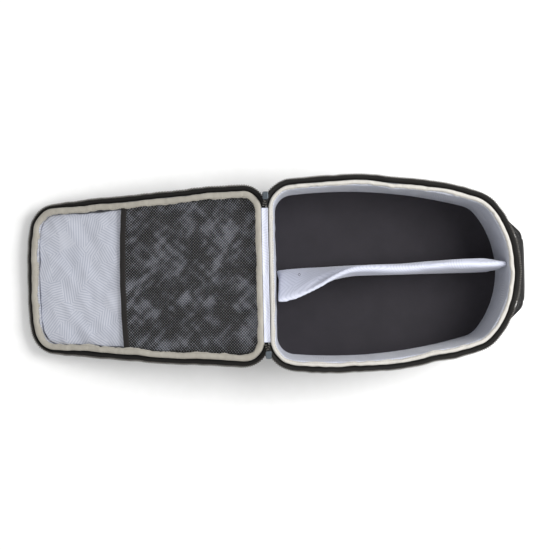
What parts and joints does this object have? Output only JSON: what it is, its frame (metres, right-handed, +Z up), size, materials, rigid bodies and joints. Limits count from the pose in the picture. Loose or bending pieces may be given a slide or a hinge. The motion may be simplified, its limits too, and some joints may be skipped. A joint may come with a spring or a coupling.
{
  "type": "golf shoe bag",
  "caption": "Padded clamshell shoe bag lying open: deep divided body for a pair of golf shoes, shallow lid with mesh pocket, fabric hinge, zipper and end handle.",
  "frame": {"origin": "centre of the body's back panel, on its outer face, where the bag lies on a table", "axes": "+Z up out of the open body, +X towards the toe end and the handle, -X towards the hinge and the lid"},
  "size_m": [0.7086, 0.274, 0.115],
  "materials": {
    "outer_fabric": "matt woven polyester",
    "outer_piping": "matt woven tape over cord",
    "lining_fabric": "smooth printed polyester lining",
    "floor_fabric": "matt woven polyester",
    "binding_tape": "ribbed binding tape",
    "pocket_mesh": "open knitted mesh",
    "elastic": "ribbed elastic band",
    "foam": "closed-cell foam",
    "board": "foam-faced board",
    "zip_tape": "woven zipper tape",
    "zip_teeth": "nylon coil",
    "slider_metal": "gunmetal",
    "webbing": "woven webbing",
    "grip_fabric": "padded polyester"
  },
  "bodies": {
    "body": {"back_panel": "outer_fabric", "back_board": "board", "floor_lining": "floor_fabric", "back_piping": "outer_piping", "heel_wall": "outer_fabric", "side_gusset": "outer_fabric", "padding_heel": "foam", "padding_left": "foam", "padding_right": "foam", "padding_toe": "foam", "wall_lining": "lining_fabric", "rim_binding": "binding_tape", "body_zip_tape": "zip_tape", "body_zip_teeth": "zip_teeth", "hinge_strip": "outer_fabric", "hinge_lining": "lining_fabric", "slider_left": "slider_metal", "slider_right": "slider_metal", "handle_anchor_left": "webbing", "handle_anchor_right": "webbing", "divider_flange": "lining_fabric"},
    "lid": {"lid_panel": "outer_fabric", "lid_board": "board", "lid_lining": "lining_fabric", "lid_piping": "outer_piping", "lid_band": "outer_fabric", "lid_padding_heel": "foam", "lid_padding_left": "foam", "lid_padding_right": "foam", "lid_padding_toe": "foam", "lid_wall_lining": "lining_fabric", "lid_binding": "binding_tape", "lid_zip_tape": "zip_tape", "lid_zip_teeth": "zip_teeth", "mesh_pocket": "pocket_mesh", "pocket_elastic": "elastic"},
    "divider": {"divider_foam": "foam", "divider_cover": "lining_fabric"},
    "handle": {"handle_webbing": "webbing", "handle_grip": "grip_fabric"},
    "pull_left": {"pull_left": "slider_metal"},
    "pull_right": {"pull_right": "slider_metal"}
  },
  "joints": [
    {"name": "lid_hinge", "type": "hinge", "parent": "body", "child": "lid", "pos_m": [-0.174, 0, 0.112], "axis": [0, 1, 0], "range_deg": [0, 194.7], "deforming": ["hinge_strip", "hinge_lining"]},
    {"name": "divider_tilt", "type": "hinge", "parent": "body", "child": "divider", "pos_m": [0, 0.004, 0.0096], "axis": [1, 0, 0], "range_deg": [-6, 20]},
    {"name": "handle_swing", "type": "hinge", "parent": "body", "child": "handle", "pos_m": [0.1501, 0, 0.062], "axis": [0, 1, 0], "range_deg": [-20, 20]},
    {"name": "pull_left_swing", "type": "hinge", "parent": "body", "child": "pull_left", "pos_m": [-0.172, 0.109, 0.1066], "axis": [1, 0, 0], "range_deg": [0, 80]},
    {"name": "pull_right_swing", "type": "hinge", "parent": "body", "child": "pull_right", "pos_m": [-0.172, -0.109, 0.1066], "axis": [1, 0, 0], "range_deg": [-80, 0]}
  ]
}
